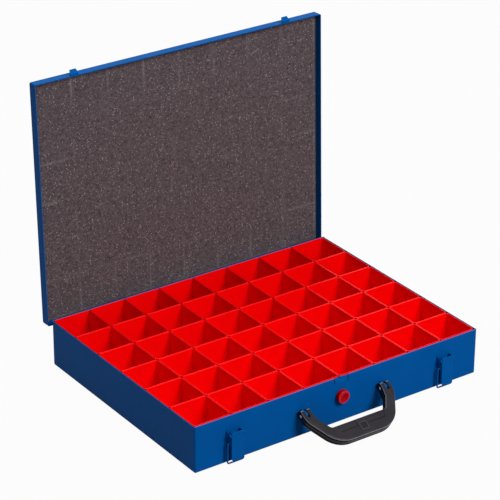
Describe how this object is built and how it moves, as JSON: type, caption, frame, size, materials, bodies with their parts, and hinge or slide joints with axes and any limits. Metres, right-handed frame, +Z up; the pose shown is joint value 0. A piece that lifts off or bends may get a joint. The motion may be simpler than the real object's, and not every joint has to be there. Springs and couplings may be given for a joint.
{
  "type": "compartment carrying case",
  "caption": "Flat sheet-steel carrying case with a hinged foam-lined lid, lift-out bins, toggle latches and a folding handle.",
  "frame": {"origin": "centre of the base tray's underside", "axes": "+X along the front wall to the right, -Y out of the front wall, +Z up"},
  "size_m": [0.44, 0.4177, 0.3919],
  "materials": {
    "blue_powder_coat": "satin blue powder coat on sheet steel",
    "red_bin_plastic": "moulded red polystyrene",
    "red_button_plastic": "moulded red plastic, satin",
    "black_handle_plastic": "moulded black plastic, fine grain",
    "grey_foam": "open-cell grey foam",
    "plated_steel": "zinc-plated steel",
    "spacer_plastic": "natural nylon"
  },
  "bodies": {
    "base": {"base_tray": "blue_powder_coat", "hinge_base_leaf_left": "blue_powder_coat", "hinge_base_leaf_right": "blue_powder_coat", "hinge_pin_left": "plated_steel", "hinge_pin_right": "plated_steel", "hinge_base_rivets": "blue_powder_coat", "latch_plate_left": "blue_powder_coat", "latch_plate_right": "blue_powder_coat", "latch_pin_left": "blue_powder_coat", "latch_pin_right": "blue_powder_coat", "latch_rivets": "blue_powder_coat", "handle_bracket_left": "blue_powder_coat", "handle_bracket_right": "blue_powder_coat"},
    "lid": {"lid_shell": "blue_powder_coat", "foam_liner": "grey_foam", "hinge_lid_leaf_left": "blue_powder_coat", "hinge_lid_leaf_right": "blue_powder_coat", "hinge_lid_rivets": "blue_powder_coat"},
    "handle": {"handle_upper_shell": "black_handle_plastic", "handle_lower_shell": "black_handle_plastic", "handle_badge": "black_handle_plastic", "handle_pin_left": "plated_steel", "handle_pin_right": "plated_steel"},
    "push_button": {"push_button": "red_button_plastic", "button_spacer": "spacer_plastic", "button_spring": "plated_steel", "lock_catch": "blue_powder_coat"},
    "latch_lever_left": {"latch_lever_left": "blue_powder_coat"},
    "latch_bail_left": {"latch_bail_left": "blue_powder_coat"},
    "latch_lever_right": {"latch_lever_right": "blue_powder_coat"},
    "latch_bail_right": {"latch_bail_right": "blue_powder_coat"},
    "bins_row_1": {"bins_row_1": "red_bin_plastic"},
    "bins_row_2": {"bins_row_2": "red_bin_plastic"},
    "bins_row_3": {"bins_row_3": "red_bin_plastic"},
    "bins_row_4": {"bins_row_4": "red_bin_plastic"},
    "bins_row_5": {"bins_row_5": "red_bin_plastic"},
    "bins_row_6": {"bins_row_6": "red_bin_plastic"}
  },
  "joints": [
    {"name": "lid_hinge", "type": "hinge", "parent": "base", "child": "lid", "pos_m": [0, 0.16755, 0.05135], "axis": [-1, 0, 0], "range_deg": [-92, 0]},
    {"name": "handle_swing", "type": "hinge", "parent": "base", "child": "handle", "pos_m": [0, -0.17195, 0.03295], "axis": [-1, 0, 0], "range_deg": [0, 100]},
    {"name": "button_press", "type": "slide", "parent": "base", "child": "push_button", "axis": [0, 1, 0], "range_m": [0, 0.001], "stiffness_N_per_m": 300, "springref_m": -0.002, "deforming": ["button_spring"]},
    {"name": "latch_lever_left_turn", "type": "hinge", "parent": "base", "child": "latch_lever_left", "pos_m": [-0.1625, -0.17145, 0.0403], "axis": [-1, 0, 0], "range_deg": [0, 150]},
    {"name": "latch_bail_left_turn", "type": "hinge", "parent": "latch_lever_left", "child": "latch_bail_left", "pos_m": [-0.1625, -0.16965, 0.0294], "axis": [-1, 0, 0], "range_deg": [0, 186]},
    {"name": "latch_lever_right_turn", "type": "hinge", "parent": "base", "child": "latch_lever_right", "pos_m": [0.1625, -0.17145, 0.0403], "axis": [-1, 0, 0], "range_deg": [0, 150]},
    {"name": "latch_bail_right_turn", "type": "hinge", "parent": "latch_lever_right", "child": "latch_bail_right", "pos_m": [0.1625, -0.16965, 0.0294], "axis": [-1, 0, 0], "range_deg": [0, 186]},
    {"name": "bins_row_1_lift", "type": "slide", "parent": "base", "child": "bins_row_1", "axis": [0, 0, 1], "range_m": [0, 0.07]},
    {"name": "bins_row_2_lift", "type": "slide", "parent": "base", "child": "bins_row_2", "axis": [0, 0, 1], "range_m": [0, 0.07]},
    {"name": "bins_row_3_lift", "type": "slide", "parent": "base", "child": "bins_row_3", "axis": [0, 0, 1], "range_m": [0, 0.07]},
    {"name": "bins_row_4_lift", "type": "slide", "parent": "base", "child": "bins_row_4", "axis": [0, 0, 1], "range_m": [0, 0.07]},
    {"name": "bins_row_5_lift", "type": "slide", "parent": "base", "child": "bins_row_5", "axis": [0, 0, 1], "range_m": [0, 0.07]},
    {"name": "bins_row_6_lift", "type": "slide", "parent": "base", "child": "bins_row_6", "axis": [0, 0, 1], "range_m": [0, 0.07]}
  ]
}
